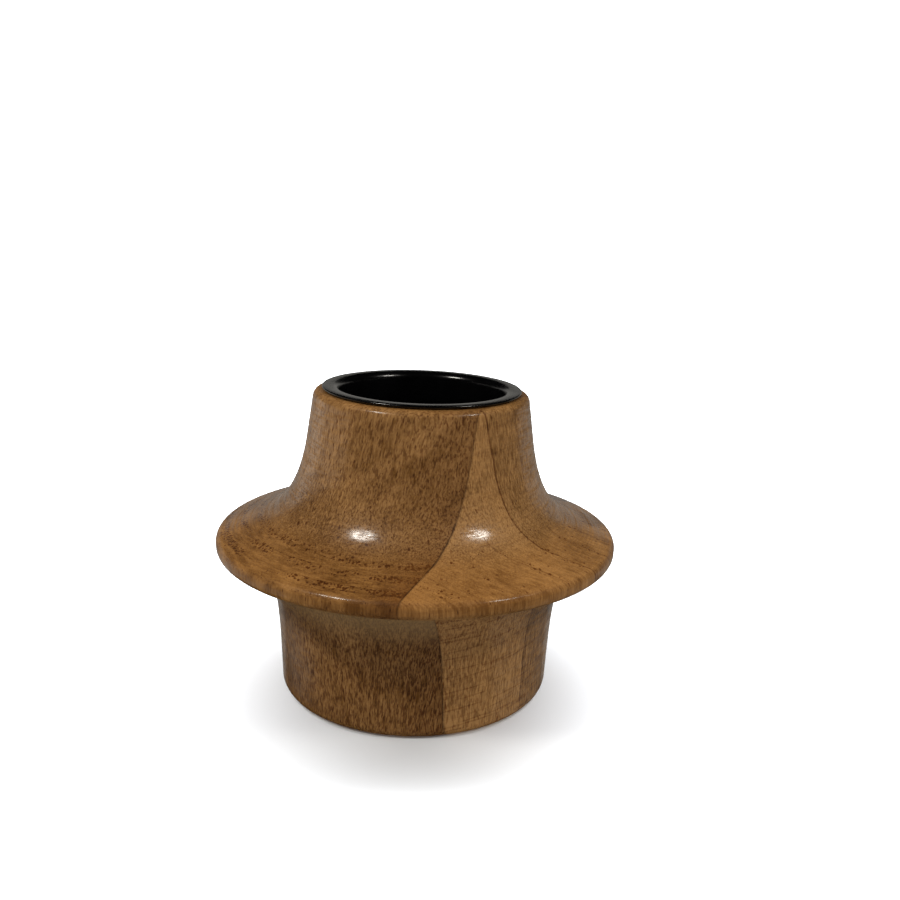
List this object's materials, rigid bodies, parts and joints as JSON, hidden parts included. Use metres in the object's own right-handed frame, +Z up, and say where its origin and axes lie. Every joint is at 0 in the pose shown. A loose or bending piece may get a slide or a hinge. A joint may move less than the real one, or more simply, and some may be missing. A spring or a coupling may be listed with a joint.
{
  "type": "dip pen holder",
  "caption": "Turned wooden desk holder with a foot, wide brim and flared neck, lined by a flanged black metal cup that lifts out.",
  "frame": {"origin": "on the turning axis, at the flat that the foot stands on", "axes": "+Z up the turning axis, towards the cup's mouth; the glue joint faces +X and -Y"},
  "size_m": [0.1, 0.1, 0.0775],
  "materials": {
    "dark_wood": "semi-gloss clear lacquer on reddish brown hardwood",
    "light_wood": "semi-gloss clear lacquer on tan hardwood",
    "black_metal": "gloss black coating"
  },
  "bodies": {
    "holder": {"main_block": "dark_wood", "side_block": "light_wood"},
    "cup": {"pen_cup": "black_metal"}
  },
  "joints": [
    {"name": "cup_lift", "type": "slide", "parent": "holder", "child": "cup", "axis": [0, 0, 1], "range_m": [0, 0.08]}
  ]
}
